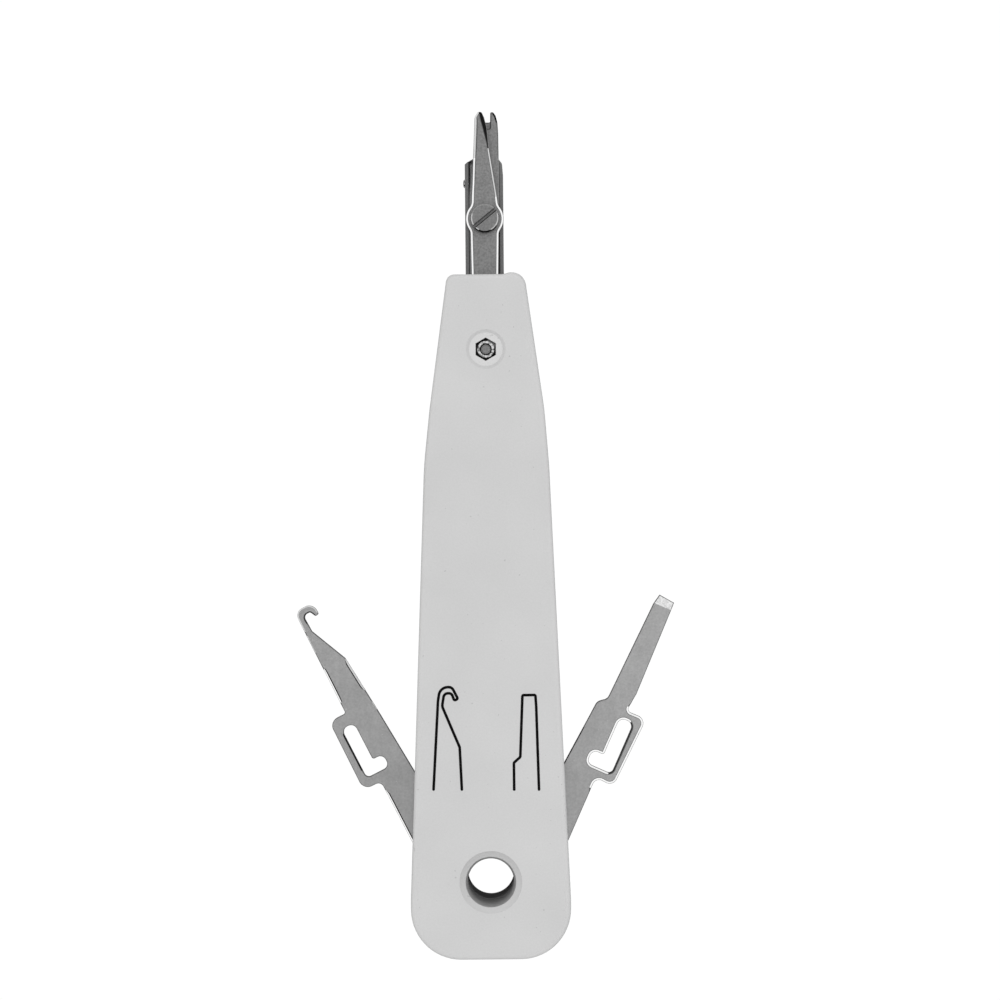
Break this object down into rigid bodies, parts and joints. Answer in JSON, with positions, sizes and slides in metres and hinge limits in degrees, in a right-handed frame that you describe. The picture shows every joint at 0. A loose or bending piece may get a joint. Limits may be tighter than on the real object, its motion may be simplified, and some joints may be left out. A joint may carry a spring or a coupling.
{
  "type": "punch down tool",
  "caption": "Hand tool that presses telecom wires into their contacts and trims them, with a spring-loaded scissor head, a fold-out wire hook and a fold-out pry blade.",
  "frame": {"origin": "bottom centre of the whole tool as it lies on its rear face with both side tools half open: on the centre line, half way along", "axes": "+Y along the handle to the insertion tip, +Z out of the front face, +X to the right seen from the front with the tip up"},
  "size_m": [0.0799, 0.1783, 0.02],
  "materials": {
    "shell_plastic": "moulded, fine matt grain",
    "inner_plastic": "moulded",
    "hook_steel": "punched sheet with a satin face and bright sheared edges",
    "blade_steel": "punched sheet with a satin face, bright edges and a ground tip",
    "channel_steel": "dark, lightly brushed",
    "cutter_steel": "hardened, fine brushed face with bright ground edges",
    "inserter_steel": "brushed",
    "screw_steel": "turned, satin",
    "bright_steel": "plated, bright",
    "spring_steel": "drawn wire"
  },
  "bodies": {
    "handle": {"front_shell": "shell_plastic", "rear_shell": "shell_plastic", "closing_screw": "bright_steel", "closing_nut": "bright_steel", "hook_pivot_pin": "bright_steel", "blade_pivot_pin": "bright_steel", "hook_spring_washer": "spring_steel", "blade_spring_washer": "spring_steel", "cam_pin": "bright_steel", "spring_seat": "inner_plastic", "return_spring": "spring_steel"},
    "head": {"head_channel": "channel_steel", "inserter_plate": "inserter_steel", "fixed_cutter": "cutter_steel", "scissor_screw": "screw_steel", "scissor_nut": "bright_steel", "side_rivet": "bright_steel", "spring_plunger": "bright_steel", "plunger_rivet": "bright_steel"},
    "cutter": {"moving_cutter": "cutter_steel"},
    "hook": {"hook_tool": "hook_steel"},
    "blade": {"blade_tool": "blade_steel"}
  },
  "joints": [
    {"name": "head_slide", "type": "slide", "parent": "handle", "child": "head", "axis": [0, -1, 0], "range_m": [0, 0.005], "stiffness_N_per_m": 3000, "springref_m": -0.002, "deforming": ["return_spring"]},
    {"name": "cutter_pivot", "type": "hinge", "parent": "head", "child": "cutter", "pos_m": [0, 0.0662, 0.01135], "axis": [0, 0, 1], "range_deg": [-4.55, 0]},
    {"name": "hook_pivot", "type": "hinge", "parent": "handle", "child": "hook", "pos_m": [-0.0118, -0.066, 0.01], "axis": [0, 0, 1], "range_deg": [-29.2, 93]},
    {"name": "blade_pivot", "type": "hinge", "parent": "handle", "child": "blade", "pos_m": [0.0118, -0.066, 0.01], "axis": [0, 0, 1], "range_deg": [-96, 26.4]}
  ],
  "couplings": [
    {"joint": "cutter_pivot", "follows": "head_slide", "rad_per_m": -15.708}
  ]
}
